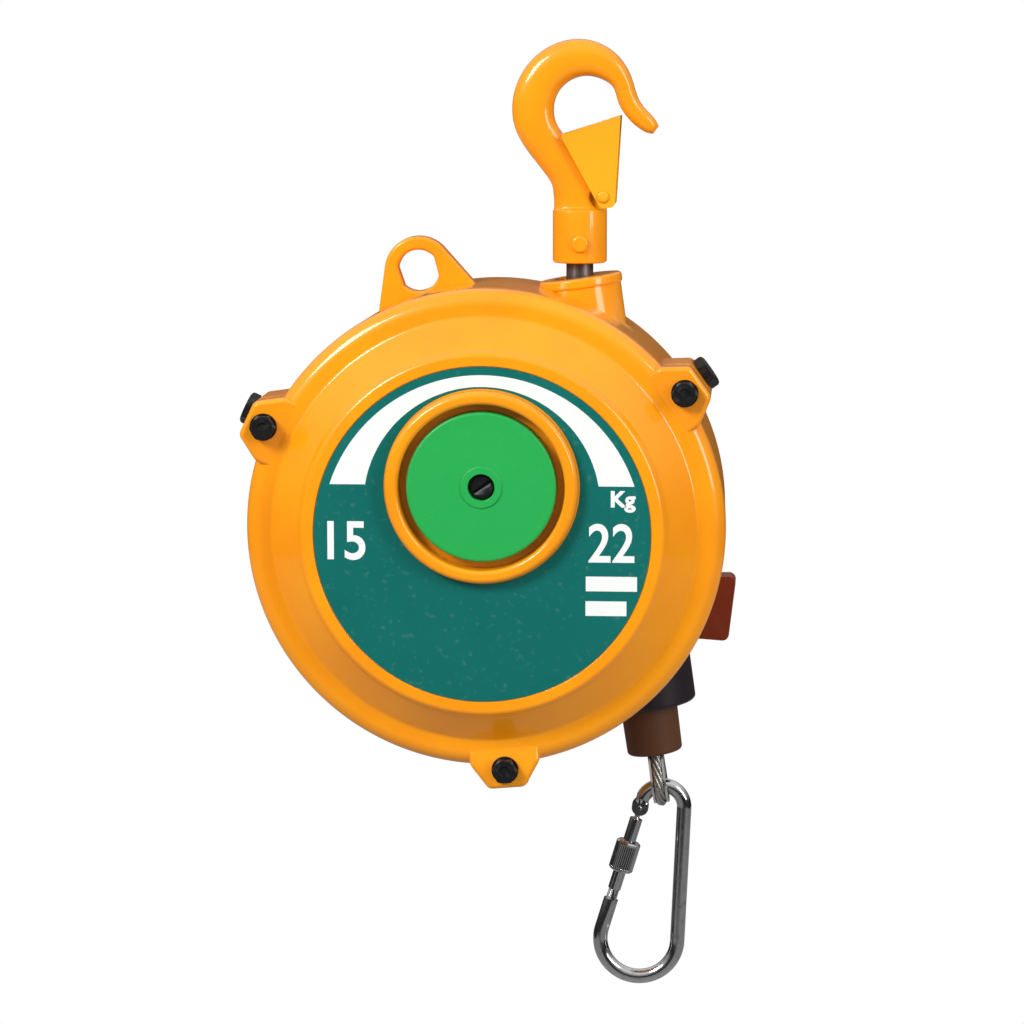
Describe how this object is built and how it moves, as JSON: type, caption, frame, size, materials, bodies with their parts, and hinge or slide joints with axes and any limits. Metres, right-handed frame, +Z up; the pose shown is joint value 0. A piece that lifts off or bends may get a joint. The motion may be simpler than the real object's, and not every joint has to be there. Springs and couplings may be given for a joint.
{
  "type": "tool balancer",
  "caption": "Hanging spring balancer for hand tools: round cast casing with a tapered rope drum, swivelling safety hook above, wire rope with stopper, eye and screw-gate carabiner below.",
  "frame": {"origin": "centre of the top hook's bowl, where the hook hangs from its support", "axes": "+Z up, -Y towards the side with the label, +X to the right of someone who reads the label; the hook stem and the rope lie in the plane Y = 0"},
  "size_m": [0.2183, 0.128, 0.4268],
  "materials": {
    "casing_paint": "gloss orange-yellow paint on a cast casing",
    "hook_paint": "gloss orange-yellow paint on forged steel",
    "latch_paint": "gloss yellow paint on sheet steel",
    "black_oxide": "black oxide, slightly oily",
    "zinc": "bright zinc plate",
    "bearing_steel": "ground steel",
    "spring_steel": "blued spring strip",
    "rope_steel": "galvanised wire rope",
    "label_vinyl": "printed plastic sheet, teal and white",
    "cap_green": "green moulded plastic",
    "guide_black": "black moulded plastic",
    "stopper_brown": "brown rubber",
    "grip_brown": "red-brown moulded plastic",
    "gasket_fibre": "dark sealing sheet",
    "drum_alloy": "cast and turned aluminium",
    "case_iron": "grey cast iron with cut teeth",
    "bronze": "bearing bronze"
  },
  "bodies": {
    "hook": {"upper_hook": "hook_paint", "hook_stem": "zinc", "hook_cross_pin": "hook_paint", "hook_nut": "zinc", "cotter_pin": "zinc", "latch_rivet": "zinc", "latch_spring": "spring_steel"},
    "latch": {"hook_latch": "latch_paint"},
    "swivel_seat": {"ball_washer": "bearing_steel"},
    "housing": {"front_cover": "casing_paint", "rear_casing": "casing_paint", "casing_gasket": "gasket_fibre", "cover_bolts": "black_oxide", "cover_washers": "black_oxide", "lock_screws": "black_oxide", "front_label": "label_vinyl", "end_cap": "cap_green", "cap_screw": "black_oxide", "drum_shaft": "bearing_steel", "shaft_nut": "zinc", "rear_cap": "guide_black", "rear_cap_screws": "zinc", "lever_pin": "bearing_steel", "lever_circlip": "black_oxide", "bearing_inner_rings": "bearing_steel", "bearing_balls": "bearing_steel", "bearing_spacer": "bearing_steel", "hub_spacer": "bearing_steel", "thrust_washer": "bronze", "worm_bushes": "bronze", "cable_guide": "guide_black"},
    "lever": {"lock_lever": "zinc", "lever_grip": "grip_brown"},
    "drum": {"drum": "drum_alloy", "cable_windings": "rope_steel", "cable_anchor": "zinc", "bearing_outer_rings": "bearing_steel", "drum_circlip": "black_oxide"},
    "spring_case": {"spring_case": "case_iron", "spring_case_lid": "zinc", "lid_screws": "zinc", "spring_case_bush": "bronze", "mainspring": "spring_steel"},
    "worm": {"worm": "bearing_steel"},
    "cable_end": {"cable_run": "rope_steel", "cable_eye": "rope_steel", "cable_ferrule": "zinc", "thimble": "zinc", "cable_stopper": "stopper_brown"},
    "carabiner": {"carabiner_body": "zinc", "gate_pin": "zinc"},
    "gate": {"carabiner_gate": "zinc"},
    "sleeve": {"screw_sleeve": "zinc"}
  },
  "joints": [
    {"name": "latch_hinge", "type": "hinge", "parent": "hook", "child": "latch", "pos_m": [0.0074, 0, -0.0378], "axis": [0, -1, 0], "range_deg": [0, 35], "stiffness_Nm_per_rad": 0.02, "springref_deg": -57.3},
    {"name": "hook_swivel", "type": "hinge", "parent": "hook", "child": "swivel_seat", "pos_m": [-0.0032, 0, -0.092], "axis": [0, 0, 1], "continuous": true},
    {"name": "hanger_tilt", "type": "hinge", "parent": "swivel_seat", "child": "housing", "pos_m": [-0.0032, 0, -0.092], "axis": [0, 1, 0], "range_deg": [0, 16]},
    {"name": "drum_spin", "type": "hinge", "parent": "housing", "child": "drum", "pos_m": [-0.0414, 0, -0.1585], "axis": [0, 1, 0], "range_deg": [0, 1440], "stiffness_Nm_per_rad": 0.1, "springref_deg": -5443.1},
    {"name": "cable_travel", "type": "slide", "parent": "housing", "child": "cable_end", "axis": [0.1392, 0, -0.9903], "range_m": [0, 1.521], "deforming": ["cable_run"]},
    {"name": "carabiner_swing", "type": "hinge", "parent": "cable_end", "child": "carabiner", "pos_m": [0.03364, 0, -0.3037], "axis": [1, 0, 0], "range_deg": [-60, 60]},
    {"name": "gate_hinge", "type": "hinge", "parent": "carabiner", "child": "gate", "pos_m": [0.02483, 0, -0.31336], "axis": [0, -1, 0], "range_deg": [0, 20], "stiffness_Nm_per_rad": 0.01, "springref_deg": -57.3},
    {"name": "sleeve_screw", "type": "slide", "parent": "gate", "child": "sleeve", "axis": [-0.2902, 0, -0.957], "range_m": [-0.009, 0.012]},
    {"name": "tension_adjust", "type": "hinge", "parent": "housing", "child": "spring_case", "pos_m": [-0.0414, 0, -0.1585], "axis": [0, 1, 0], "continuous": true},
    {"name": "worm_spin", "type": "hinge", "parent": "housing", "child": "worm", "pos_m": [-0.0414, -0.03, -0.2385], "axis": [1, 0, 0], "continuous": true},
    {"name": "lock_lever", "type": "hinge", "parent": "housing", "child": "lever", "pos_m": [0.03321, 0.02993, -0.20883], "axis": [0, -1, 0], "range_deg": [0, 10]}
  ],
  "couplings": [
    {"joint": "cable_travel", "follows": "drum_spin", "m_per_rad": 0.0605},
    {"joint": "worm_spin", "follows": "tension_adjust", "ratio": 56}
  ]
}
